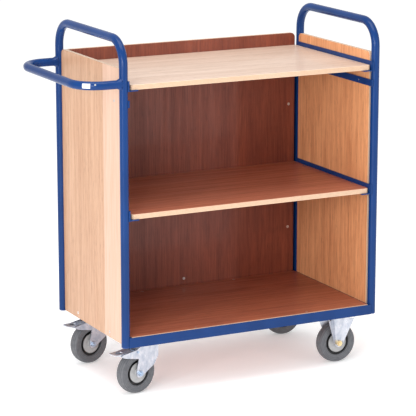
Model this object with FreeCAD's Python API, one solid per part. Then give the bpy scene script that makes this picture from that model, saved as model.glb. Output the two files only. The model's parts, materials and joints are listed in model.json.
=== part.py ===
"""Two-shelf book cart: welded tube frame, plywood boards and panels, four casters.

Millimetres, +Z up.  The origin is on the floor, under the middle of the whole cart.
+X runs away from the push handle, and -Y is the open front.
"""
import FreeCAD, Part
import math
import os

Vector = FreeCAD.Vector

# ---- Frame: round tube hoops, push handle, welded sections ----
POST_SPACING_X = 825.0
POST_SPACING_Y = 458.0
TUBE_R = 12.5
TUBE_WALL = 1.5
FRAME_BASE = 156.0
HOOP_TOP = 1049.8
HOOP_BEND_R = 72.0
HANDLE_Z = 927.5
HANDLE_REACH = 128.0
HANDLE_BEND_R = 75.0
WELD_R = 2.2
CAP_HEIGHT = 3.0

SECTION_SIZE = 30.0
SECTION_T = 3.0
STEM_BASE = FRAME_BASE + 13.5
BAR_Z = (859.5, 879.5)
BAR_T = 4.0
STRAP_T = 2.0
STRAP_EDGE = 7.5
STRAP_REACH = 50.0
STRAP_TOP = 905.0
LOW_STRAP_TOP = 222.0
STITCH_HALF = 15.0
STITCH_Z = (215.0, 535.0, 855.0)
BEAD_OFFSET = 8.5
BEAD_DEPTH = 10.2

# ---- Boards and panels ----
BOARD_T = 15.0
PANEL_T = 12.0
DECK_TOP = STEM_BASE + SECTION_T + BOARD_T
MIDDLE_TOP = 548.7
TOP_TOP = 923.4
PANEL_Z = (161.0, 962.0)
LEFT_PANEL_Z = (158.0, 967.0)
PANEL_CORNER_R = 15.0
SHELF_CORNER_R = 9.0
EDGE_R = 1.2

# ---- Casters ----
WHEEL_R = 62.5
TRAIL = 38.0
SWIVEL_REST_DEG = 14.0
CASTER_INSET_X = 90.6
CASTER_INSET_Y = 59.4
PLATE_X = 105.0
PLATE_Y = 85.0
PLATE_T = 4.0
BOLT_SPACING_X = 80.0
BOLT_SPACING_Y = 60.0
BOLT_R = 4.0
SEAT_T = 3.0
FORK_OUTER = 22.0
FORK_T = 3.0
AXLE_R = 5.0
SLEEVE_R = 7.5
KINGPIN_R = 6.0
RUNNING_GAP = 0.05
HUB_R = 39.0
PEDAL_PIVOT = (-45.0, 128.0)
PEDAL_PIN_R = 2.5
CROWN_Z = (143.5, 147.0)
SEAT_REACH_X = 150.0
SEAT_REACH_Y = 107.0
BOLT_HEAD_T = 5.3
BOLT_HEAD_AF = 13.0
BOLT_NUT_T = 6.5

# ---- Wood screws: sizes, then insets from the post axes or heights ----
SCREW_R = 2.0
SCREW_HEAD_R = 4.5
SCREW_HEAD_T = 2.6
RECESS_REACH = 2.3
RECESS_W = 0.8
RECESS_T = 1.0
DECK_FRONT_SCREWS = {"left": 228.0, "right": 226.0, "depth": 2.0}
DECK_REAR_SCREWS = {"left": 260.0, "right": 244.0, "depth": 18.0}
SHELF_SCREWS_X = {"left": 31.0, "right": 26.0}
SHELF_SCREWS_Y = {"front": 86.0, "rear": 80.0}
SIDE_HIGH_SCREWS = {"y": 162.3, "z": 869.5}
SIDE_LOW_SCREWS = {"y": 116.0, "z": 175.0}
BACK_SCREW_INSET = 40.5
BACK_SCREW_Z = (735.0, 335.0)
LOW_SCREW_Z = 207.0

# ---- Places worked out from the sizes above ----
LEFT_X = (HANDLE_REACH - POST_SPACING_X) / 2
RIGHT_X = LEFT_X + POST_SPACING_X
FRONT_Y = -POST_SPACING_Y / 2
REAR_Y = POST_SPACING_Y / 2
BACK_FACE = REAR_Y - 1.5
PLATE_TOP = FRAME_BASE
PLATE_BASE = FRAME_BASE - PLATE_T
RACE_TOP = PLATE_BASE - 0.3
FORK_INNER = FORK_OUTER - FORK_T
HEAD_Z = (FRAME_BASE, FRAME_BASE + SECTION_SIZE)
STEM_Z = (STEM_BASE, STEM_BASE + SECTION_T)
FRONT_HEAD_Y = (FRONT_Y - TUBE_R, FRONT_Y - TUBE_R + SECTION_T)
REAR_HEAD_Y = (BACK_FACE - SECTION_T, BACK_FACE)
FRONT_STEM_Y = (FRONT_HEAD_Y[1], FRONT_Y + 17.5)
REAR_STEM_Y = (REAR_HEAD_Y[0] - SECTION_SIZE + SECTION_T, REAR_HEAD_Y[0])
MIDDLE_X = (LEFT_X + RIGHT_X) / 2
SIDES = {"left": (LEFT_X, 1), "right": (RIGHT_X, -1)}
Z_AXIS = Vector(0, 0, 1)


# ---------------------------------------------------------------- helpers
def box(x_range, y_range, z_range):
    """Block between two values on each axis, given in either order."""
    lows = [min(r) for r in (x_range, y_range, z_range)]
    sizes = [abs(r[1] - r[0]) for r in (x_range, y_range, z_range)]
    return Part.makeBox(*sizes, Vector(*lows))


def rod(radius, start, end):
    """Solid round bar from one point to another."""
    start = Vector(*start)
    run = Vector(*end) - start
    return Part.makeCylinder(radius, run.Length, start, run)


def post_rod(post_x, post_y):
    """Full-height bar on a post's axis, used to cope what is welded to the post."""
    return rod(TUBE_R, (post_x, post_y, 0), (post_x, post_y, HOOP_TOP))


def fused(shapes):
    """One clean solid from touching pieces."""
    return shapes[0].multiFuse(shapes[1:]).removeSplitter()


def group(solids):
    """Several separate solids kept as one node."""
    return Part.makeCompound(solids)


def hexagon(across_flats, height, base, axis):
    """Hexagonal prism whose base centre and direction are given."""
    corner = across_flats / math.sqrt(3)
    points = []
    for i in range(7):
        angle = math.radians(60 * i)
        points.append(Vector(corner * math.cos(angle), corner * math.sin(angle), 0))
    prism = Part.Face(Part.makePolygon(points)).extrude(Vector(0, 0, height))
    prism.Placement = FreeCAD.Placement(Vector(*base), FreeCAD.Rotation(Z_AXIS, Vector(*axis)))
    return prism


def bent_path(points, radius):
    """Straight runs between points, joined by tangent arcs of one radius."""
    corners = [Vector(*p) for p in points]
    edges = []
    start = corners[0]
    for before, corner, after in zip(corners, corners[1:], corners[2:]):
        back = (before - corner).normalize()
        ahead = (after - corner).normalize()
        half_angle = back.getAngle(ahead) / 2
        reach = radius / math.tan(half_angle)
        middle_way = (back + ahead).normalize()
        centre = corner + middle_way * (radius / math.sin(half_angle))
        tangent_in = corner + back * reach
        tangent_out = corner + ahead * reach
        middle = centre - middle_way * radius
        edges.append(Part.LineSegment(start, tangent_in).toShape())
        edges.append(Part.Arc(tangent_in, middle, tangent_out).toShape())
        start = tangent_out
    edges.append(Part.LineSegment(start, corners[-1]).toShape())
    return Part.Wire(edges)


def bent_tube(points, bend_radius):
    """Hollow round tube along a bent path."""
    path = bent_path(points, bend_radius)
    start = Vector(*points[0])
    direction = Vector(*points[1]) - start
    walls = []
    for radius in (TUBE_R, TUBE_R - TUBE_WALL):
        ring = Part.Wire([Part.makeCircle(radius, start, direction)])
        walls.append(path.makePipeShell([ring], True, False))
    return walls[0].cut(walls[1])


def lathe(points):
    """Solid of revolution about the Y axis from (radius, y) points."""
    wire = Part.makePolygon([Vector(r, y, 0) for r, y in points + points[:1]])
    return Part.Face(wire).revolve(Vector(0, 0, 0), Vector(0, 1, 0), 360)


def outline(points, y, thickness):
    """Plate cut to a closed (x, z) outline, with its face at y."""
    wire = Part.makePolygon([Vector(x, y, z) for x, z in points + points[:1]])
    return Part.Face(wire).extrude(Vector(0, thickness, 0))


def edges_along(shape, axis, test):
    """Straight edges parallel to one axis (0, 1 or 2) whose midpoint passes a test."""
    chosen = []
    for edge in shape.Edges:
        direction = edge.Vertexes[-1].Point - edge.Vertexes[0].Point
        if direction.Length and abs(abs(direction[axis]) - direction.Length) < 1e-6:
            if test(edge.CenterOfMass):
                chosen.append(edge)
    return chosen


def corner_places():
    """Side name, front or rear, post centre, and the signs that point into the cart."""
    for side, (post_x, inward_x) in SIDES.items():
        for row, post_y, inward_y in (("front", FRONT_Y, 1), ("rear", REAR_Y, -1)):
            yield side, row, post_x, post_y, inward_x, inward_y


# ---------------------------------------------------------------- screws
def screw_axes():
    """Every wood screw as node name, head seat, driving direction and length."""
    down = (0, 0, -1)
    board_length = BOARD_T + SECTION_T + 1.0
    back_length = PANEL_T + STRAP_T
    for side, (post_x, inward) in SIDES.items():
        for row, edge_y, depth in (("front", FRONT_Y, 1), ("rear", REAR_Y, -1)):
            deck = DECK_FRONT_SCREWS if row == "front" else DECK_REAR_SCREWS
            deck_place = (post_x + inward * deck[side], edge_y + depth * deck["depth"], DECK_TOP)
            yield "deck_screws", deck_place, down, board_length
            for top in (MIDDLE_TOP, TOP_TOP):
                x = post_x + inward * SHELF_SCREWS_X[side]
                yield "shelf_screws", (x, edge_y + depth * SHELF_SCREWS_Y[row], top), down, board_length
        face = post_x + inward * (TUBE_R - PANEL_T)
        for places, length in ((SIDE_HIGH_SCREWS, BAR_T + 1.0), (SIDE_LOW_SCREWS, SECTION_T)):
            for y in (-places["y"], places["y"]):
                seat = (face, y, places["z"])
                yield "side_panel_screws", seat, (inward, 0, 0), PANEL_T + length
        for z in BACK_SCREW_Z:
            seat = (post_x + inward * BACK_SCREW_INSET, BACK_FACE, z)
            yield "back_panel_screws", seat, (0, 1, 0), back_length
    yield "back_panel_screws", (MIDDLE_X, BACK_FACE, LOW_SCREW_Z), (0, 1, 0), back_length


def screw_body(seat, direction, length):
    """Countersunk head flush with the surface, on a plain shank."""
    seat = Vector(*seat)
    direction = Vector(*direction)
    head = Part.makeCone(SCREW_HEAD_R, SCREW_R, SCREW_HEAD_T, seat, direction)
    return fused([head, Part.makeCylinder(SCREW_R, length, seat, direction)])


def make_screw(seat, direction, length):
    """Screw with a cross recess in its head."""
    bars = []
    for half_x, half_y in ((RECESS_REACH, RECESS_W / 2), (RECESS_W / 2, RECESS_REACH)):
        bars.append(box((-half_x, half_x), (-half_y, half_y), (0, RECESS_T)))
    recess = fused(bars)
    turn = FreeCAD.Rotation(Z_AXIS, Vector(*direction))
    recess.Placement = FreeCAD.Placement(Vector(*seat), turn)
    return screw_body(seat, direction, length).cut(recess)


def drilled(shape):
    """Cut the countersunk screw holes that pass through a shape."""
    for _, seat, direction, length in screw_axes():
        hole = screw_body(seat, direction, length)
        if shape.BoundBox.intersect(hole.BoundBox):
            shape = shape.cut(hole)
    return shape


def screws(node):
    """All screws of one node."""
    return group([make_screw(s, d, n) for name, s, d, n in screw_axes() if name == node])


# ---------------------------------------------------------------- welded frame
def hoop(post_x):
    """Side frame: one tube up the front, over the top and down the rear."""
    foot = FRAME_BASE + CAP_HEIGHT
    points = [(post_x, FRONT_Y, foot), (post_x, FRONT_Y, HOOP_TOP),
              (post_x, REAR_Y, HOOP_TOP), (post_x, REAR_Y, foot)]
    return bent_tube(points, HOOP_BEND_R)


def push_handle():
    """Level U-shaped tube, coped and welded to both left posts."""
    reach_x = LEFT_X - HANDLE_REACH
    points = [(LEFT_X, FRONT_Y, HANDLE_Z), (reach_x, FRONT_Y, HANDLE_Z),
              (reach_x, REAR_Y, HANDLE_Z), (LEFT_X, REAR_Y, HANDLE_Z)]
    pieces = [bent_tube(points, HANDLE_BEND_R)]
    bead_length = 11.0
    for y in (FRONT_Y, REAR_Y):
        start = Vector(LEFT_X - TUBE_R - 8, y, HANDLE_Z)
        bead = Part.makeCone(TUBE_R - 0.2, TUBE_R + 5, bead_length, start, Vector(1, 0, 0))
        bore = Part.makeCylinder(TUBE_R - TUBE_WALL, bead_length, start, Vector(1, 0, 0))
        envelope = box((LEFT_X - 40, LEFT_X), (y - TUBE_R, y + TUBE_R), (0, HOOP_TOP))
        pieces.append(bead.cut(bore).common(envelope))
    handle = fused(pieces)
    for y in (FRONT_Y, REAR_Y):
        handle = handle.cut(post_rod(LEFT_X, y))
    return handle


def post_caps():
    """Rounded plugs that close the four tube ends at the bottom."""
    caps = []
    for _, _, post_x, post_y, _, _ in corner_places():
        base = (post_x, post_y, FRAME_BASE)
        disc = rod(TUBE_R, base, (post_x, post_y, FRAME_BASE + CAP_HEIGHT))
        rim = min(disc.Edges, key=lambda e: e.CenterOfMass.z)
        disc = disc.makeFillet(CAP_HEIGHT * 0.8, [rim])
        plug_r = TUBE_R - TUBE_WALL - RUNNING_GAP
        caps.append(fused([disc, rod(plug_r, base, (post_x, post_y, FRAME_BASE + 12))]))
    return group(caps)


def weld_bead(x, y, z_range):
    """Upright weld seam."""
    return rod(WELD_R, (x, y, z_range[0]), (x, y, z_range[1]))


def deck_rail_front():
    """T section across the front, its head flush with the fronts of the posts."""
    start = 7.0
    stem_start = TUBE_R + SECTION_T
    pieces = [box((LEFT_X + start, RIGHT_X - start), FRONT_HEAD_Y, HEAD_Z),
              box((LEFT_X + stem_start, RIGHT_X - stem_start), FRONT_STEM_Y, STEM_Z)]
    for post_x, inward in SIDES.values():
        pieces.append(weld_bead(post_x + inward * BEAD_OFFSET, FRONT_Y - BEAD_DEPTH, HEAD_Z))
    rail = fused(pieces)
    for post_x, _ in SIDES.values():
        rail = rail.cut(post_rod(post_x, FRONT_Y))
    rail = rail.cut(rail_end_room("left")).cut(rail_end_room("right"))
    return drilled(rail)


def rail_end_room(side):
    """Space taken by a side rail's head, which the cross rails stop against."""
    post_x, inward = SIDES[side]
    x_range = (post_x + inward * TUBE_R, post_x + inward * (TUBE_R + SECTION_T))
    return box(x_range, (FRONT_HEAD_Y[1], REAR_HEAD_Y[0]), HEAD_Z)


def deck_rail_rear():
    """T section across the rear, its head against the back panel."""
    stem_start = TUBE_R + SECTION_T
    end_gap = TUBE_R
    pieces = [box((LEFT_X + end_gap, RIGHT_X - end_gap), REAR_HEAD_Y, HEAD_Z),
              box((LEFT_X + stem_start, RIGHT_X - stem_start), REAR_STEM_Y, STEM_Z)]
    return drilled(fused(pieces))


def deck_rail_side(side):
    """T section front to back, its head inside the posts and the side panel."""
    post_x, inward = SIDES[side]
    stem_x = (post_x + inward * (TUBE_R + SECTION_T), post_x + inward * (TUBE_R + SECTION_SIZE))
    stem = box(stem_x, (FRONT_STEM_Y[1], REAR_STEM_Y[0]), STEM_Z)
    return drilled(fused([rail_end_room(side), stem]))


def shelf_angle(side, board_top):
    """L section welded between two posts: one leg upright, one flange under the shelf."""
    post_x, inward = SIDES[side]
    base = board_top - BOARD_T - SECTION_T
    y_range = (FRONT_Y - 8, BACK_FACE - 0.5)
    leg_x = (post_x + inward * TUBE_R, post_x + inward * (TUBE_R + SECTION_T))
    flange_x = (leg_x[0], post_x + inward * (TUBE_R + SECTION_SIZE))
    leg_z = (base, base + SECTION_SIZE)
    pieces = [box(leg_x, y_range, leg_z), box(flange_x, y_range, (base, base + SECTION_T))]
    pieces.append(weld_bead(post_x + inward * (TUBE_R - 1), FRONT_Y - 9, leg_z))
    angle = fused(pieces)
    for post_y in (FRONT_Y, REAR_Y):
        angle = angle.cut(post_rod(post_x, post_y))
    return drilled(angle)


def panel_bar(side):
    """Flat bar between two posts that the side panel is screwed to."""
    post_x, inward = SIDES[side]
    bar_x = (post_x + inward * TUBE_R, post_x + inward * (TUBE_R + BAR_T))
    pieces = [box(bar_x, (FRONT_Y - 6, BACK_FACE - 0.5), BAR_Z)]
    pieces.append(weld_bead(post_x + inward * (TUBE_R - 0.5), FRONT_Y - 7.5, BAR_Z))
    bar = fused(pieces)
    for post_y in (FRONT_Y, REAR_Y):
        bar = bar.cut(post_rod(post_x, post_y))
    return drilled(bar)


def back_straps():
    """Flat straps behind the back panel: one up each rear post, a short one on the rear rail."""
    strap_y = (BACK_FACE + PANEL_T, BACK_FACE + PANEL_T + STRAP_T)
    straps = []
    for post_x, inward in SIDES.values():
        strap_x = (post_x + inward * STRAP_EDGE, post_x + inward * STRAP_REACH)
        pieces = [box(strap_x, strap_y, (FRAME_BASE, STRAP_TOP))]
        for z in STITCH_Z:
            bead_x = post_x + inward * BEAD_OFFSET
            pieces.append(weld_bead(bead_x, REAR_Y + BEAD_DEPTH, (z - STITCH_HALF, z + STITCH_HALF)))
        straps.append(fused(pieces).cut(post_rod(post_x, REAR_Y)))
    low_x = (MIDDLE_X - STITCH_HALF, MIDDLE_X + STITCH_HALF)
    foot = box(low_x, (BACK_FACE, strap_y[1]), (FRAME_BASE, FRAME_BASE + SECTION_T))
    straps.append(fused([foot, box(low_x, strap_y, (FRAME_BASE, LOW_STRAP_TOP))]))
    return group([drilled(strap) for strap in straps])


def caster_seats():
    """Plates welded inside the base frame, one over each caster."""
    seats = []
    for _, row, post_x, post_y, inward_x, inward_y in corner_places():
        head_y = FRONT_HEAD_Y[1] if row == "front" else REAR_HEAD_Y[0]
        x_range = (post_x + inward_x * (TUBE_R + SECTION_T), post_x + inward_x * SEAT_REACH_X)
        y_range = (head_y, post_y + inward_y * SEAT_REACH_Y)
        seat = box(x_range, y_range, (PLATE_TOP, PLATE_TOP + SEAT_T))
        centre = caster_centre(post_x, post_y, inward_x, inward_y)
        seats.append(seat.cut(bolt_holes(centre)))
    return group(seats)


# ---------------------------------------------------------------- wood
def eased(shape):
    """Round every sharp edge of a board slightly."""
    return shape.makeFillet(EDGE_R, shape.Edges)


def deck_board():
    """Lowest board, resting on the stems of the rails."""
    inset = 17.0
    x_range = (LEFT_X + inset, RIGHT_X - inset)
    y_range = (FRONT_HEAD_Y[1] + 1, REAR_HEAD_Y[0] - 0.5)
    return drilled(eased(box(x_range, y_range, (DECK_TOP - BOARD_T, DECK_TOP))))


def shelf(board_top):
    """Board resting on a pair of angles, with rounded front corners."""
    x_range = (LEFT_X + 21.5, RIGHT_X - 17.5)
    y_range = (FRONT_Y - 3, BACK_FACE - 0.5)
    board = box(x_range, y_range, (board_top - BOARD_T, board_top))
    corners = edges_along(board, 2, lambda middle: middle.y < 0)
    board = board.makeFillet(SHELF_CORNER_R, corners)
    return drilled(eased(board))


def side_panel(side):
    """Upright plywood side between the posts, with rounded top corners."""
    post_x, inward = SIDES[side]
    outer = post_x + inward * (TUBE_R - PANEL_T)
    end = TUBE_R + 0.5
    z_range = LEFT_PANEL_Z if side == "left" else PANEL_Z
    panel = box((outer, outer + inward * PANEL_T), (FRONT_Y + end, REAR_Y - end), z_range)
    top = edges_along(panel, 0, lambda middle: middle.z > HANDLE_Z)
    return drilled(eased(panel.makeFillet(PANEL_CORNER_R, top)))


def back_panel():
    """Upright plywood back between the rear posts, with rounded top corners."""
    gap = 19.4
    x_range = (LEFT_X + gap, RIGHT_X - gap)
    panel = box(x_range, (BACK_FACE, BACK_FACE + PANEL_T), PANEL_Z)
    top = edges_along(panel, 1, lambda middle: middle.z > HANDLE_Z)
    return drilled(eased(panel.makeFillet(PANEL_CORNER_R, top)))


# ---------------------------------------------------------------- handle trim
def on_handle_bend(half_height, depth, z, start_deg, end_deg):
    """Thin skin on the front handle bend, between two angles about the bend's centre."""
    centre = Vector(LEFT_X - HANDLE_REACH + HANDLE_BEND_R, FRONT_Y + HANDLE_BEND_R, HANDLE_Z)
    gap = 0.05
    section = Part.makeTorus(HANDLE_BEND_R, TUBE_R + depth, centre, Z_AXIS)
    section = section.cut(Part.makeTorus(HANDLE_BEND_R, TUBE_R + gap, centre, Z_AXIS))
    reach = HANDLE_BEND_R + 2 * TUBE_R
    sweep = end_deg - start_deg
    wedge = Part.makeCylinder(reach, 2 * half_height, Vector(0, 0, z - half_height), Z_AXIS, sweep)
    inner = Part.makeCylinder(HANDLE_BEND_R, 2 * half_height, Vector(0, 0, z - half_height), Z_AXIS)
    wedge = wedge.cut(inner)
    wedge.rotate(Vector(0, 0, 0), Z_AXIS, start_deg)
    wedge.translate(Vector(centre.x, centre.y, 0))
    return section.common(wedge)


def handle_label():
    """Blank label stuck to the front of the handle bend."""
    return on_handle_bend(6.5, 0.4, HANDLE_Z + 1.0, 221.0, 236.5)


def label_rivet():
    """Small rivet head beside the label."""
    return on_handle_bend(2.0, 1.0, HANDLE_Z + 5.0, 244.3, 247.3)


# ---------------------------------------------------------------- casters
def caster_centre(post_x, post_y, inward_x, inward_y):
    """Middle of a caster's plate, from its corner post."""
    return (post_x + inward_x * CASTER_INSET_X, post_y + inward_y * CASTER_INSET_Y)


def bolt_places(centre):
    """Four bolt positions about a caster's middle."""
    for sx in (-1, 1):
        for sy in (-1, 1):
            yield centre[0] + sx * BOLT_SPACING_X / 2, centre[1] + sy * BOLT_SPACING_Y / 2


def bolt_holes(centre):
    """Clearance holes through the caster's plate and its seat."""
    clearance = 0.25
    reach = (PLATE_BASE - 1, PLATE_TOP + SEAT_T + 1)
    return group([rod(BOLT_R + clearance, (x, y, reach[0]), (x, y, reach[1]))
                  for x, y in bolt_places(centre)])


def all_caster_centres():
    """The four caster middles."""
    return [caster_centre(px, py, ix, iy) for _, _, px, py, ix, iy in corner_places()]


def caster_bolts():
    """Hexagon bolts up through each plate and seat."""
    bolts = []
    for centre in all_caster_centres():
        for x, y in bolt_places(centre):
            head = hexagon(BOLT_HEAD_AF, BOLT_HEAD_T, (x, y, PLATE_BASE - BOLT_HEAD_T), (0, 0, 1))
            shank = rod(BOLT_R, (x, y, PLATE_BASE), (x, y, PLATE_TOP + 12))
            bolts.append(fused([head, shank]))
    return group(bolts)


def caster_nuts():
    """Hexagon nuts on top of the seats."""
    nuts = []
    seat_top = PLATE_TOP + SEAT_T
    for centre in all_caster_centres():
        for x, y in bolt_places(centre):
            nut = hexagon(BOLT_HEAD_AF, BOLT_NUT_T, (x, y, seat_top), (0, 0, 1))
            hole = rod(BOLT_R + RUNNING_GAP, (x, y, seat_top), (x, y, seat_top + BOLT_NUT_T))
            nuts.append(nut.cut(hole))
    return group(nuts)


def mount_plate():
    """Top plate with four holes, in the caster's own frame."""
    plate = box((-PLATE_X / 2, PLATE_X / 2), (-PLATE_Y / 2, PLATE_Y / 2), (PLATE_BASE, PLATE_TOP))
    plate = plate.makeFillet(8.0, edges_along(plate, 2, lambda middle: True))
    return plate.cut(bolt_holes((0, 0)))


def swivel_plate():
    """Swivel caster's top plate, bored for the kingpin."""
    return mount_plate().cut(rod(KINGPIN_R, (0, 0, PLATE_BASE - 1), (0, 0, PLATE_TOP + 1)))


def kingpin():
    """Pin riveted in the plate, its head under the fork crown."""
    head_z = (138.5, CROWN_Z[0] - 0.3)
    return fused([rod(KINGPIN_R, (0, 0, head_z[1]), (0, 0, PLATE_TOP)),
                  rod(11.0, (0, 0, head_z[0]), (0, 0, head_z[1]))])


def ball_race():
    """Ring that carries the balls between the crown and the plate."""
    base = (0, 0, CROWN_Z[1])
    ring = rod(28.0, base, (0, 0, RACE_TOP))
    ring = ring.makeFillet(1.5, [e for e in ring.Edges if e.CenterOfMass.z > CROWN_Z[1] + 4])
    return ring.cut(rod(12.0, base, (0, 0, PLATE_TOP)))


def axle_boss(x, y_range):
    """Rounded end of a fork cheek around the axle."""
    return rod(13.0, (x, y_range[0], WHEEL_R), (x, y_range[1], WHEEL_R))


def swivel_fork():
    """Crown, two cheeks and the wings that carry the brake pedal."""
    cheek = [(-51, 62.5), (-46, 90), (-42, 107), (-91, 117), (-103, 122), (-104, 128), (-97, 129.5),
             (-50, 135), (-28, 147), (31, 147), (31, 104), (15.6, 81), (-29, 53)]
    pieces = [box((-28, 31), (-FORK_OUTER, FORK_OUTER), CROWN_Z)]
    for side in (-1, 1):
        y_range = (side * FORK_INNER, side * FORK_OUTER)
        pieces.append(outline(cheek, y_range[0], side * FORK_T))
        pieces.append(axle_boss(-TRAIL, y_range))
    fork = fused(pieces)
    bends = edges_along(fork, 0, lambda middle: middle.z > 146.9 and abs(middle.y) > FORK_INNER)
    fork = fork.makeFillet(FORK_T * 0.95, bends)
    fork = fork.cut(rod(KINGPIN_R + RUNNING_GAP, (0, 0, 140), (0, 0, 150)))
    fork = fork.cut(rod(AXLE_R, (-TRAIL, -30, WHEEL_R), (-TRAIL, 30, WHEEL_R)))
    return fork.cut(pedal_pin_rod(PEDAL_PIN_R))


def pedal_pin_rod(radius, half_length=FORK_OUTER + 1.0):
    """Round bar on the pedal's pivot axis."""
    x, z = PEDAL_PIVOT
    return rod(radius, (x, -half_length, z), (x, half_length, z))


def pedal_pin():
    """Pivot pin of the brake pedal, riveted outside both cheeks."""
    x, z = PEDAL_PIVOT
    pieces = [pedal_pin_rod(PEDAL_PIN_R)]
    for side in (-1, 1):
        pieces.append(rod(3.8, (x, side * FORK_OUTER, z), (x, side * (FORK_OUTER + 1.5), z)))
    return fused(pieces)


def brake_pedal():
    """Slotted tread, two ears on the pivot pin and the shoe over the tyre."""
    ear_y = (15.8, 18.3)
    pad = box((-125, -56), (-ear_y[1], ear_y[1]), (129.0, 131.5))
    pad = pad.makeFillet(8.0, edges_along(pad, 2, lambda middle: middle.x < -100))
    slot = box((-112, -88), (-7, 7), (120, 140))
    slot = slot.makeFillet(5.0, edges_along(slot, 2, lambda middle: True))
    pieces = [pad.cut(slot), box((-74, -62), (-11, 11), (125.5, 129.0))]
    ear = [(-118, 129), (-104, 123.5), (-72, 122), (-44, 122), (-39, 126), (-39, 131.5), (-118, 131.5)]
    for side in (-1, 1):
        pieces.append(outline(ear, side * ear_y[0], side * (ear_y[1] - ear_y[0])))
    return fused(pieces).cut(pedal_pin_rod(PEDAL_PIN_R + RUNNING_GAP))


def leg_section(half_width, edge_x, edge_y, z):
    """Plan section of a folded leg: a flat centre and a strip slanting out at each edge."""
    slant = Vector(edge_x - half_width, edge_y - FORK_OUTER, 0).normalize()
    inward = Vector(slant.y, -slant.x, 0) * FORK_T
    fold_x = half_width + inward.x - (FORK_T + inward.y) * slant.x / slant.y
    right = [(half_width, FORK_OUTER), (edge_x, edge_y),
             (edge_x + inward.x, edge_y + inward.y), (fold_x, FORK_INNER)]
    points = right + [(-x, y) for x, y in reversed(right)]
    return Part.makePolygon([Vector(x, y, z) for x, y in points + points[:1]])


def fixed_fork():
    """Plate and two folded legs in one pressing."""
    sections = [leg_section(9.5, 13.6, 24.7, 60.0), leg_section(18.8, 48.0, 41.0, PLATE_BASE + 1)]
    leg = fused([Part.makeLoft(sections, True, True), axle_boss(0, (FORK_INNER, FORK_OUTER))])
    leg = leg.cut(bolt_head_room())
    fork = fused([mount_plate(), leg, leg.mirror(Vector(0, 0, 0), Vector(0, 1, 0))])
    fork = fork.cut(bolt_holes((0, 0)))
    return fork.cut(rod(AXLE_R, (0, -50, WHEEL_R), (0, 50, WHEEL_R)))


def bolt_head_room():
    """Clearance around the four bolt heads under the plate."""
    depth = 12.0
    return group([rod(8.5, (x, y, PLATE_BASE - depth), (x, y, PLATE_BASE + 1))
                  for x, y in bolt_places((0, 0))])


def axle(wheel_x, nut_af, nut_t):
    """Bolt through both cheeks, with its head at the far side and a nut in front."""
    half = FORK_OUTER
    end = half + nut_t + 2.0
    shank = rod(AXLE_R - RUNNING_GAP, (wheel_x, -end, WHEEL_R), (wheel_x, half, WHEEL_R))
    head = hexagon(nut_af, 5.0, (wheel_x, half, WHEEL_R), (0, 1, 0))
    nut = hexagon(nut_af, nut_t, (wheel_x, -half, WHEEL_R), (0, -1, 0))
    return fused([shank, head, nut])


def sleeve(wheel_x):
    """Spacer tube clamped between the cheeks, which the hub turns on."""
    ends = ((wheel_x, -FORK_INNER, WHEEL_R), (wheel_x, FORK_INNER, WHEEL_R))
    return rod(SLEEVE_R, *ends).cut(rod(AXLE_R, *ends))


def mirrored_profile(half):
    """Close a profile given for y >= 0 by repeating it at -y."""
    return half + [(r, -y) for r, y in reversed(half)]


def wheel_hub(wheel_x):
    """Rim and disc with a raised edge, a recessed ring outside it and a bored boss."""
    bore = SLEEVE_R + RUNNING_GAP
    half = [(bore, 17.5), (12, 17.5), (12.8, 16.7), (13.2, 11), (29.5, 11), (30.5, 12.2),
            (32, 12.2), (32.5, 11.5), (32.8, 7), (HUB_R - RUNNING_GAP, 7)]
    hub = lathe(mirrored_profile(half))
    hub.translate(Vector(wheel_x, 0, WHEEL_R))
    return hub


def tyre(wheel_x):
    """Solid tyre: stepped shoulders and a slightly crowned tread."""
    shoulder = []
    for i in range(5):
        angle = math.radians(90 * i / 4)
        shoulder.append((56.5 + 3.5 * math.sin(angle), 12.5 + 3.5 * math.cos(angle)))
    crown = []
    for i in range(5):
        y = 10.5 - 10.5 * i / 4
        crown.append((WHEEL_R - 1.6 * (y / 10.5) ** 2, y))
    half = [(HUB_R, 13.2), (40.5, 14.6), (44, 15.4)] + shoulder + [(60.2, 11.6)] + crown
    profile = half + [(r, -y) for r, y in reversed(half[:-1])]
    body = lathe(profile)
    body.translate(Vector(wheel_x, 0, WHEEL_R))
    return body


def placed(shape, centre):
    """Move a caster piece from its own frame to the cart."""
    shape = shape.copy()
    shape.translate(Vector(centre[0], centre[1], 0))
    return shape


def swivel_caster_parts():
    """Pieces of a braked swivel caster in its own frame, its fork turned to the rest angle."""
    turning = {"ball_race": ball_race(), "fork": swivel_fork(), "axle": axle(-TRAIL, 14.0, 6.0),
               "sleeve": sleeve(-TRAIL), "pedal_pin": pedal_pin(), "hub": wheel_hub(-TRAIL),
               "tyre": tyre(-TRAIL), "brake_pedal": brake_pedal()}
    for shape in turning.values():
        shape.rotate(Vector(0, 0, 0), Z_AXIS, SWIVEL_REST_DEG)
    return {"caster_plate": swivel_plate(), "kingpin": kingpin(), **turning}


def fixed_caster_parts():
    """Pieces of a fixed caster in its own frame."""
    return {"fork": fixed_fork(), "axle": axle(0.0, 16.0, 7.0), "sleeve": sleeve(0.0),
            "hub": wheel_hub(0.0), "tyre": tyre(0.0)}


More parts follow.
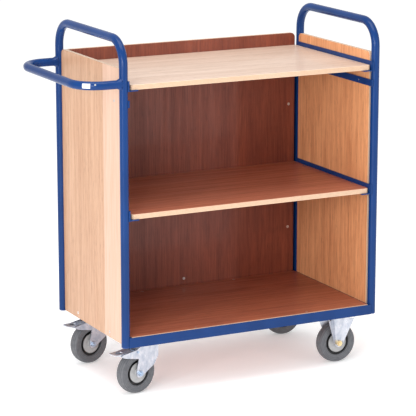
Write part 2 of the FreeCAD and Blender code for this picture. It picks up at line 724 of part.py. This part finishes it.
# ---------------------------------------------------------------- the cart
def build():
    """All nodes by name."""
    nodes = {"push_handle": push_handle(), "post_caps": post_caps(),
             "deck_rail_front": deck_rail_front(), "deck_rail_rear": deck_rail_rear(),
             "back_straps": back_straps(), "caster_seats": caster_seats(),
             "deck_board": deck_board(), "middle_shelf": shelf(MIDDLE_TOP),
             "top_shelf": shelf(TOP_TOP), "back_panel": back_panel(),
             "handle_label": handle_label(), "label_rivet": label_rivet(),
             "caster_bolts": caster_bolts(), "caster_nuts": caster_nuts()}
    for side, (post_x, _) in SIDES.items():
        nodes[side + "_hoop"] = hoop(post_x)
        nodes["deck_rail_" + side] = deck_rail_side(side)
        nodes["middle_angle_" + side] = shelf_angle(side, MIDDLE_TOP)
        nodes["top_angle_" + side] = shelf_angle(side, TOP_TOP)
        nodes["panel_bar_" + side] = panel_bar(side)
        nodes[side + "_panel"] = side_panel(side)
    for node in ("deck_screws", "shelf_screws", "side_panel_screws", "back_panel_screws"):
        nodes[node] = screws(node)
    kinds = {"left": swivel_caster_parts(), "right": fixed_caster_parts()}
    for side, row, post_x, post_y, inward_x, inward_y in corner_places():
        centre = caster_centre(post_x, post_y, inward_x, inward_y)
        for name, shape in kinds[side].items():
            nodes[row + "_" + side + "_" + name] = placed(shape, centre)
    return nodes


def main():
    """Write one STEP file per node."""
    os.makedirs("parts", exist_ok=True)
    for name, shape in build().items():
        shape.exportStep("parts/" + name + ".step")


main()
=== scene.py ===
"""Looks of the book cart: materials, floor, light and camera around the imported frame."""

import json
import math

import bmesh
import bpy
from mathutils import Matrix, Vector


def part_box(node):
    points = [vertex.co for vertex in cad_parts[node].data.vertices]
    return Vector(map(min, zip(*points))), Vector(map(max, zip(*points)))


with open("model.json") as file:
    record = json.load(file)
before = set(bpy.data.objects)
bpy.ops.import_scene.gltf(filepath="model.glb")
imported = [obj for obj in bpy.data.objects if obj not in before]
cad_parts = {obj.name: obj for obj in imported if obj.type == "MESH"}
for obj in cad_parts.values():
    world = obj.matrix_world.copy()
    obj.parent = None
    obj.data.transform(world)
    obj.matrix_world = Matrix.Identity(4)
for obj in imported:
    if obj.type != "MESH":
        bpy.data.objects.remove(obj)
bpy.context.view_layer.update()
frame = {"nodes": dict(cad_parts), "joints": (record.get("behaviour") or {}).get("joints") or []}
NODES = frame["nodes"]
JOINTS = {joint["name"]: joint for joint in frame["joints"]}
CASTERS = ("front_left", "rear_left", "front_right", "rear_right")
SIDES = ("left", "right")
X, Y, Z = range(3)

# ---- Camera and floor, in metres, millimetres of lens and degrees ----
CAMERA_AZIMUTH = 26.88
CAMERA_ELEVATION = 12.88
CAMERA_DISTANCE = 6.547
CAMERA_LENS = 187.24
CAMERA_AIM = Vector((0.034, 0.0, 0.484))
FLOOR_REACH = 30.0
FLOOR_GLOW = 0.28
SKY_STRENGTH = 0.8

# ---- Area lights: place, aim, width and height, watts ----
LIGHTS = {
    "overhead": ((-0.3, -0.6, 3.6), (0.0, 0.0, 0.9), (2.6, 2.2), 70),
    "left_strip": ((-3.2, -1.9, 1.3), (-0.2, 0.0, 0.6), (0.3, 2.4), 40),
    "front_left_fill": ((-2.3, -2.6, 1.3), (0.45, 0.0, 0.6), (0.9, 0.9), 40),
    "right_strip": ((1.9, -3.4, 1.4), (0.3, 0.0, 0.7), (0.15, 2.4), 14),
}

# ---- Colours, linear: the two tones that each finish runs between ----
PAINT = ((0.0045, 0.037, 0.158), (0.0035, 0.029, 0.128))
CAP = ((0.009, 0.048, 0.22), (0.007, 0.036, 0.17))
SHELF_EDGE = ((0.72, 0.53, 0.37), (0.40, 0.22, 0.13))
PANEL_EDGE = ((0.76, 0.58, 0.43), (0.46, 0.28, 0.17))
SAPWOOD = ((0.68, 0.455, 0.34), (0.56, 0.335, 0.225))
BRIGHT_ZINC = ((0.58, 0.59, 0.64), (0.38, 0.42, 0.50))
BLUE_ZINC = ((0.50, 0.60, 0.72), (0.30, 0.40, 0.55))
YELLOW_ZINC = ((0.80, 0.63, 0.34), (0.55, 0.42, 0.24))
SCREW_ZINC = ((0.70, 0.69, 0.68), (0.45, 0.44, 0.44))
RUBBER = ((0.135, 0.138, 0.15), (0.105, 0.108, 0.118))
RUBBER_SCUFF = (0.17, 0.172, 0.18)
# Near black, the painted shade in the tyre's moulded grooves
PAINTED_GROOVE_SHADE = (0.052, 0.053, 0.059)
HUB_DISC = ((0.40, 0.40, 0.40), (0.345, 0.345, 0.35))
# Near black, the painted shade in the recess round each hub's disc
HUB_RECESS_SHADE = ((0.006, 0.006, 0.007), (0.012, 0.012, 0.013))
LABEL_PANEL = ((0.62, 0.66, 0.80), (0.70, 0.73, 0.84))
LABEL_BORDER = (0.88, 0.89, 0.92)
FLOOR = ((0.93, 0.93, 0.93), (0.96, 0.96, 0.96))

# ---- Boards and panels: grain axis, thickness axis, tones, edge tones, pattern number ----
WOOD = {
    "top_shelf": (X, Z, ((0.67, 0.50, 0.40), (0.49, 0.33, 0.24)), SHELF_EDGE, 1.0),
    # Painted shade: darker, redder tones for the shade under the top shelf
    "middle_shelf": (X, Z, ((0.56, 0.19, 0.108), (0.29, 0.082, 0.047)), SHELF_EDGE, 2.0),
    # Painted shade: darker still, for the shade under the middle shelf
    "deck_board": (X, Z, ((0.48, 0.15, 0.078), (0.24, 0.064, 0.036)), SHELF_EDGE, 3.0),
    "left_panel": (Z, X, ((0.62, 0.375, 0.235), (0.40, 0.20, 0.105)), PANEL_EDGE, 7.0),
    # Painted light: lighter, more orange tones than the left panel, for the light on its inner face
    "right_panel": (Z, X, ((0.90, 0.45, 0.215), (0.50, 0.185, 0.075)), PANEL_EDGE, 9.0),
    # Painted shade: the darkest tones, for the shade at the back of the bays
    "back_panel": (Z, Y, ((0.28, 0.068, 0.034), (0.12, 0.024, 0.014)), PANEL_EDGE, 12.0),
}

# ---- Wood patterns: features per metre, across and along ----
STREAKS = (90, 2.2)
FIGURE = (9, 0.9)
FIBRES = (330, 9)
PORES = (620, 34)
END_GRAIN = (260, 900)
SHARE_OF_STREAKS = 0.34
SHARE_OF_FIGURE = 0.22
SHARE_OF_FIBRES = 0.36
SHARE_OF_RINGS = 0.12
RING_COUNT = 60.0
PORE_SHADE = 0.45
THICK_BOARD = 0.013
SAPWOOD_EDGE_Y = (-0.078, -0.070)

# ---- Wheels, in metres ----
# Radius where the hub's grey disc gives way to the painted recess shade
RECESS_SHADE_RADIUS = (0.0304, 0.0308)
TREAD_RADIUS = (0.0605, 0.0615)
SIDEWALL_PITCH = 0.0052
TREAD_PITCH = 0.0074
GROOVE_SHADE = 0.4

SMOOTH_ANGLE = math.radians(32)
FULL_TURN = 2 * math.pi


# ---------------------------------------------------------------- node graph helpers
class Graph:
    """One material's nodes, with short calls that add and join them."""

    def __init__(self, name, roughness=0.5, metallic=0.0, coat=0.0, specular=0.5):
        self.material = bpy.data.materials.new(name)
        self.material.use_nodes = True
        self.tree = self.material.node_tree
        self.tree.nodes.clear()
        self.shader = self.add("ShaderNodeBsdfPrincipled")
        self.shader.inputs["Roughness"].default_value = roughness
        self.shader.inputs["Metallic"].default_value = metallic
        self.shader.inputs["Coat Weight"].default_value = coat
        self.shader.inputs["Coat Roughness"].default_value = 0.08
        self.shader.inputs["Specular IOR Level"].default_value = specular
        output = self.add("ShaderNodeOutputMaterial")
        self.tree.links.new(self.shader.outputs[0], output.inputs["Surface"])
        self.coords = self.add("ShaderNodeTexCoord")

    def add(self, kind, **settings):
        """A new node with its properties set."""
        node = self.tree.nodes.new(kind)
        for key, value in settings.items():
            setattr(node, key, value)
        return node

    def put(self, value, socket):
        """Join an output to an input, or set the input to a plain value."""
        if isinstance(value, bpy.types.NodeSocket):
            self.tree.links.new(value, socket)
        else:
            socket.default_value = value

    def math(self, operation, a, b=0.0, c=0.0, clamp=False):
        """A scalar operation."""
        node = self.add("ShaderNodeMath", operation=operation, use_clamp=clamp)
        for socket, value in zip(node.inputs, (a, b, c)):
            self.put(value, socket)
        return node.outputs[0]

    def times(self, a, b):
        """Product of two values."""
        return self.math("MULTIPLY", a, b)

    def vector(self, operation, a, b=(0.0, 0.0, 0.0)):
        """A vector operation whose result is a vector."""
        return self.vector_node(operation, a, b).outputs["Vector"]

    def measure(self, operation, a, b=(0.0, 0.0, 0.0)):
        """A vector operation whose result is a number."""
        return self.vector_node(operation, a, b).outputs["Value"]

    def vector_node(self, operation, a, b):
        """The node of a vector operation."""
        node = self.add("ShaderNodeVectorMath", operation=operation)
        self.put(a, node.inputs[0])
        self.put(b, node.inputs[1])
        return node

    def noise(self, scale, detail=3.0, roughness=0.55, distortion=0.0, offset=(0.0, 0.0, 0.0)):
        """Noise of about 0 to 1, with its own frequency on each axis (per metre)."""
        node = self.add("ShaderNodeTexNoise")
        moved = self.vector("ADD", self.coords.outputs["Object"], offset)
        self.put(self.vector("MULTIPLY", moved, scale), node.inputs["Vector"])
        node.inputs["Scale"].default_value = 1.0
        node.inputs["Detail"].default_value = detail
        node.inputs["Roughness"].default_value = roughness
        node.inputs["Distortion"].default_value = distortion
        return node.outputs["Fac"]

    def spread(self, value, low, high, to_low=0.0, to_high=1.0):
        """Clamped smooth remap of a value."""
        node = self.add("ShaderNodeMapRange", interpolation_type="SMOOTHSTEP")
        for socket, number in zip(node.inputs, (value, low, high, to_low, to_high)):
            self.put(number, socket)
        return node.outputs[0]

    def mix(self, factor, a, b):
        """Blend of two colours."""
        node = self.add("ShaderNodeMix", data_type="RGBA")
        self.put(factor, node.inputs["Factor"])
        colours = [socket for socket in node.inputs if socket.type == "RGBA"]
        for value, socket in zip((a, b), colours):
            self.put(value if isinstance(value, bpy.types.NodeSocket) else (*value, 1.0), socket)
        return [socket for socket in node.outputs if socket.type == "RGBA"][0]

    def colour(self, value):
        """The shader's base colour."""
        self.put(value, self.shader.inputs["Base Color"])

    def rough(self, value):
        """The shader's roughness, from a varying value."""
        self.put(value, self.shader.inputs["Roughness"])

    def bump(self, height, distance, strength):
        """Surface relief from a height of about 0 to 1."""
        node = self.add("ShaderNodeBump")
        node.inputs["Strength"].default_value = strength
        node.inputs["Distance"].default_value = distance
        self.put(height, node.inputs["Height"])
        self.put(node.outputs[0], self.shader.inputs["Normal"])

    def part_of(self, output, axis):
        """One component of a texture coordinate output."""
        node = self.add("ShaderNodeSeparateXYZ")
        self.put(self.coords.outputs[output], node.inputs[0])
        return node.outputs[axis]

    def place(self, axis):
        """One object coordinate."""
        return self.part_of("Object", axis)

    def facing(self, axis):
        """How squarely the surface faces along one axis, 0 to 1."""
        return self.math("ABSOLUTE", self.part_of("Normal", axis))


def even(frequency):
    """The same frequency on all three axes."""
    return (frequency, frequency, frequency)


# ---------------------------------------------------------------- materials
def powder_coat():
    """Glossy blue powder coat with a fine orange peel and a little tone change."""
    g = Graph("blue_powder_coat", roughness=0.2, specular=0.2)
    tone = g.noise((9, 9, 5), detail=2)
    g.colour(g.mix(g.spread(tone, 0.3, 0.7), *PAINT))
    g.rough(g.spread(g.noise(even(60), detail=3), 0.3, 0.75, 0.17, 0.27))
    g.bump(g.noise(even(520), detail=1), 0.00006, 0.6)
    return g.material


def cap_plastic():
    """Moulded blue end caps, a shade brighter than the paint."""
    g = Graph("cap_plastic", roughness=0.35)
    mottle = g.noise(even(120), detail=3)
    g.colour(g.mix(mottle, *CAP))
    g.bump(mottle, 0.00004, 0.5)
    return g.material


def label_film():
    """Blank white label with a faint grey panel and a soft grain."""
    g = Graph("label_film", roughness=0.35, coat=0.3)
    low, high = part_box("handle_label")
    from_middle = g.math("ABSOLUTE", g.math("SUBTRACT", g.place(Z), (low.z + high.z) / 2))
    grain = g.noise(even(700), detail=2)
    panel = g.mix(g.spread(grain, 0.4, 0.7), *LABEL_PANEL)
    g.colour(g.mix(g.spread(from_middle, 0.0028, 0.0034), panel, LABEL_BORDER))
    g.bump(grain, 0.00001, 0.3)
    return g.material


def stretched(axis, across, along):
    """Frequencies that stretch a pattern along one axis."""
    return tuple(along if number == axis else across for number in (X, Y, Z))


def grain_tone(g, streaks, figure, fibres):
    """How dark the veneer is at a point, 0 to 1, from its patterns."""
    rings = g.math("SINE", g.times(figure, RING_COUNT))
    figured = g.times(g.spread(figure, 0.32, 0.68), SHARE_OF_FIGURE)
    tone = g.math("MULTIPLY_ADD", g.spread(streaks, 0.3, 0.7), SHARE_OF_STREAKS, figured)
    tone = g.math("ADD", tone, g.times(g.spread(fibres, 0.36, 0.64), SHARE_OF_FIBRES))
    return g.math("ADD", tone, g.times(g.spread(rings, 0.1, 1.0), SHARE_OF_RINGS), clamp=True)


def ply_edge(g, name, thick, tones):
    """Colour of a board's edge: wavy plies with a little end grain."""
    low, high = (corner[thick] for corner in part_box(name))
    plies = 5 if high - low > THICK_BOARD else 4
    level = g.times(g.math("SUBTRACT", g.place(thick), low), FULL_TURN * plies / (high - low))
    wobble = g.times(g.noise(even(30), 2, 0.5), 1.6)
    bands = g.spread(g.math("SINE", g.math("ADD", level, wobble)), -0.2, 0.75)
    end_grain = g.noise(stretched(thick, *END_GRAIN), 2, 0.6)
    return g.mix(g.spread(end_grain, 0.45, 0.8, 0.0, 0.35), g.mix(bands, *tones), tones[1])


def sapwood_stripe(g, face, tone):
    """Paler wood down the front third of the left panel."""
    drift = g.times(g.noise((4, 4, 2.5), 2), 0.02)
    pale_side = g.spread(g.math("ADD", g.place(Y), drift), *SAPWOOD_EDGE_Y, 1.0, 0.0)
    return g.mix(pale_side, face, g.mix(tone, *SAPWOOD))


def plywood(name, grain, thick, tones, edge_tones, pattern):
    """Veneered plywood: fibres and figure along the grain, and plies on the edges."""
    g = Graph(name, roughness=0.42, coat=0.12, specular=0.4)
    offset = (pattern * 1.7, pattern * 2.3, pattern * 0.9)
    streaks = g.noise(stretched(grain, *STREAKS), 5, 0.65, 0.4, offset)
    figure = g.noise(stretched(grain, *FIGURE), 3, 0.5, 1.2, offset)
    fibres = g.noise(stretched(grain, *FIBRES), 3, 0.7, 0.0, offset)
    pores = g.noise(stretched(grain, *PORES), 1, 0.5, 0.0, offset)
    tone = grain_tone(g, streaks, figure, fibres)
    flecks = g.times(g.spread(pores, 0.6, 0.72), g.spread(streaks, 0.4, 0.6, 0.25, 0.6))
    fleck_colour = tuple(PORE_SHADE * channel for channel in tones[1])
    face = g.mix(flecks, g.mix(tone, *tones), fleck_colour)
    if name == "left_panel":
        face = sapwood_stripe(g, face, tone)
    on_face = g.spread(g.facing(thick), 0.55, 0.8)
    g.colour(g.mix(on_face, ply_edge(g, name, thick, edge_tones), face))
    g.rough(g.spread(streaks, 0.3, 0.7, 0.36, 0.5))
    g.bump(g.math("MULTIPLY_ADD", fibres, 0.5, g.times(pores, 0.5)), 0.00012, 0.5)
    return g.material


def zinc(name, tones, roughness):
    """Plated steel: slightly clouded and brushed by rolling."""
    g = Graph(name, roughness=roughness, metallic=0.9)
    cloud = g.noise((70, 70, 45), detail=4, roughness=0.65)
    g.colour(g.mix(g.spread(cloud, 0.3, 0.75), *tones))
    g.rough(g.spread(cloud, 0.25, 0.75, roughness - 0.07, roughness + 0.1))
    g.bump(g.noise((260, 260, 1400), detail=2), 0.00003, 0.4)
    return g.material


def about_axle(g, caster):
    """A point's distance from its wheel's axis, and its place along that axis, in metres."""
    joint = JOINTS["wheel_" + caster]
    direction = Vector(joint["axis"]).normalized()
    arm = g.vector("SUBTRACT", g.coords.outputs["Object"], tuple(joint["pos_m"]))
    along = g.measure("DOT_PRODUCT", arm, tuple(direction))
    reach = g.measure("LENGTH", arm)
    square = g.math("SUBTRACT", g.times(reach, reach), g.times(along, along))
    return g.math("SQRT", g.math("MAXIMUM", square, 0.0)), along


def tyre_rubber(caster):
    """Grey rubber: matt, faintly mottled, with moulded rings on the sides and the tread, and painted
    shade in their grooves.
    """
    g = Graph("tyre_" + caster, roughness=0.55, specular=0.35)
    radius, along = about_axle(g, caster)
    mottle = g.noise(even(95), detail=4, roughness=0.6)
    scuff = g.spread(g.noise(even(38), detail=3), 0.52, 0.75, 0.0, 0.35)
    tread = g.spread(radius, *TREAD_RADIUS)
    base = g.mix(g.spread(mottle, 0.3, 0.75), *RUBBER)
    worn = g.mix(g.times(scuff, tread), base, RUBBER_SCUFF)
    rings = g.math("SINE", g.times(radius, FULL_TURN / SIDEWALL_PITCH))
    ribs = g.math("COSINE", g.times(along, FULL_TURN / TREAD_PITCH))
    moulded = g.mix(tread, g.spread(rings, -0.6, 0.9), g.spread(ribs, -0.6, 0.9))
    # Painted shade: the moulded rings and ribs are darkened toward near black, standing for the shade
    # in their grooves
    g.colour(g.mix(g.times(moulded, GROOVE_SHADE), worn, PAINTED_GROOVE_SHADE))
    g.rough(g.spread(mottle, 0.25, 0.8, 0.45, 0.66))
    g.bump(g.math("MULTIPLY_ADD", moulded, 2.0, mottle), 0.00009, 0.6)
    return g.material


def hub_plastic(caster):
    """Light grey moulded disc inside a black ring of painted shade, where the recess between disc and
    tyre lies in shadow.
    """
    g = Graph("hub_" + caster, roughness=0.4, specular=0.45)
    radius, _ = about_axle(g, caster)
    mottle = g.noise(even(80), detail=3)
    mottled = g.spread(mottle, 0.3, 0.7)
    disc = g.mix(mottled, *HUB_DISC)
    # Painted shade: beyond the disc's radius the hub turns near black, standing for the shadow in the
    # recess next to the tyre
    g.colour(g.mix(g.spread(radius, *RECESS_SHADE_RADIUS), disc, g.mix(mottled, *HUB_RECESS_SHADE)))
    g.rough(g.spread(mottle, 0.3, 0.75, 0.34, 0.5))
    g.bump(g.noise(even(900), detail=1), 0.00003, 0.5)
    return g.material


# ---------------------------------------------------------------- dressing the nodes
def dress(material, *names):
    """Give CAD nodes a material and smooth their curved faces."""
    for name in names:
        mesh = NODES[name].data
        mesh.materials.clear()
        mesh.materials.append(material)
        mesh.polygons.foreach_set("material_index", [0] * len(mesh.polygons))
        mesh.shade_smooth()
        mesh.set_sharp_from_angle(angle=SMOOTH_ANGLE)


def dress_frame():
    """Blue steelwork, its caps and the label."""
    pieces = ["push_handle", "deck_rail_front", "deck_rail_rear", "back_straps", "caster_seats"]
    for side in SIDES:
        pieces.append(side + "_hoop")
        pieces += [stem + side for stem in ("deck_rail_", "middle_angle_", "top_angle_", "panel_bar_")]
    dress(powder_coat(), *pieces)
    dress(cap_plastic(), "post_caps")
    dress(label_film(), "handle_label")


def dress_wood():
    """Boards and panels, each with its own veneer pattern, and with tones that carry painted shade and
    light.
    """
    for name, finish in WOOD.items():
        dress(plywood(name, *finish), name)


def dress_casters():
    """Plated pressings, bolts, tyres and hubs."""
    bright = zinc("bright_zinc", BRIGHT_ZINC, 0.32)
    bluish = zinc("blue_zinc", BLUE_ZINC, 0.26)
    yellow = zinc("yellow_zinc", YELLOW_ZINC, 0.28)
    for caster in CASTERS:
        finishes = {"tyre": tyre_rubber(caster), "hub": hub_plastic(caster),
                    "axle": yellow if caster.endswith("right") else bluish}
        finishes.update(dict.fromkeys(("fork", "caster_plate", "ball_race", "brake_pedal"), bright))
        stem = caster + "_"
        for name in NODES:
            if name.startswith(stem):
                dress(finishes.get(name.removeprefix(stem), bluish), name)


def dress_fasteners():
    """Wood screws, caster bolts and nuts, and the rivet by the label."""
    dress(zinc("screw_zinc", SCREW_ZINC, 0.3), "deck_screws", "shelf_screws", "side_panel_screws",
          "back_panel_screws", "caster_bolts", "caster_nuts", "label_rivet")


# ---------------------------------------------------------------- surroundings
def linked(name, data):
    """A new object in the scene."""
    thing = bpy.data.objects.new(name, data)
    bpy.context.scene.collection.objects.link(thing)
    return thing


def floor():
    """Wide pale floor with a faint glow of its own."""
    mesh = bpy.data.meshes.new("studio_floor")
    build = bmesh.new()
    bmesh.ops.create_grid(build, x_segments=1, y_segments=1, size=FLOOR_REACH)
    build.to_mesh(mesh)
    build.free()
    g = Graph("studio_floor", roughness=0.9, specular=0.1)
    tone = g.mix(g.noise(even(0.4), 2), *FLOOR)
    g.colour(tone)
    g.put(tone, g.shader.inputs["Emission Color"])
    g.shader.inputs["Emission Strength"].default_value = FLOOR_GLOW
    mesh.materials.append(g.material)
    linked("studio_floor", mesh)


def area_light(name, place, aim, size, power):
    """Soft rectangular light pointing at a place."""
    data = bpy.data.lights.new(name, "AREA")
    data.shape = "RECTANGLE"
    data.size, data.size_y = size
    data.energy = power
    light = linked(name, data)
    light.location = place
    light.rotation_mode = "QUATERNION"
    light.rotation_quaternion = (Vector(aim) - Vector(place)).to_track_quat("-Z", "Y")


def lighting():
    """Overhead softbox, two tall strips, a fill for the bays, and an even white surround."""
    world = bpy.data.worlds.new("studio")
    bpy.context.scene.world = world
    world.use_nodes = True
    background = world.node_tree.nodes["Background"]
    background.inputs["Color"].default_value = (1.0, 1.0, 1.0, 1.0)
    background.inputs["Strength"].default_value = SKY_STRENGTH
    for name, settings in LIGHTS.items():
        area_light(name, *settings)


def camera():
    """Long lens from the front left, a little above the hoops."""
    data = bpy.data.cameras.new("camera")
    data.lens = CAMERA_LENS
    azimuth = math.radians(CAMERA_AZIMUTH)
    elevation = math.radians(CAMERA_ELEVATION)
    level = math.cos(elevation)
    forward = Vector((math.sin(azimuth) * level, math.cos(azimuth) * level, -math.sin(elevation)))
    cam = linked("camera", data)
    cam.location = CAMERA_AIM - forward * CAMERA_DISTANCE
    cam.rotation_mode = "QUATERNION"
    cam.rotation_quaternion = forward.to_track_quat("-Z", "Y")
    bpy.context.scene.camera = cam


# ---------------------------------------------------------------- run
dress_frame()
dress_wood()
dress_casters()
dress_fasteners()
floor()
lighting()
camera()
bpy.context.scene.view_settings.view_transform = "Standard"
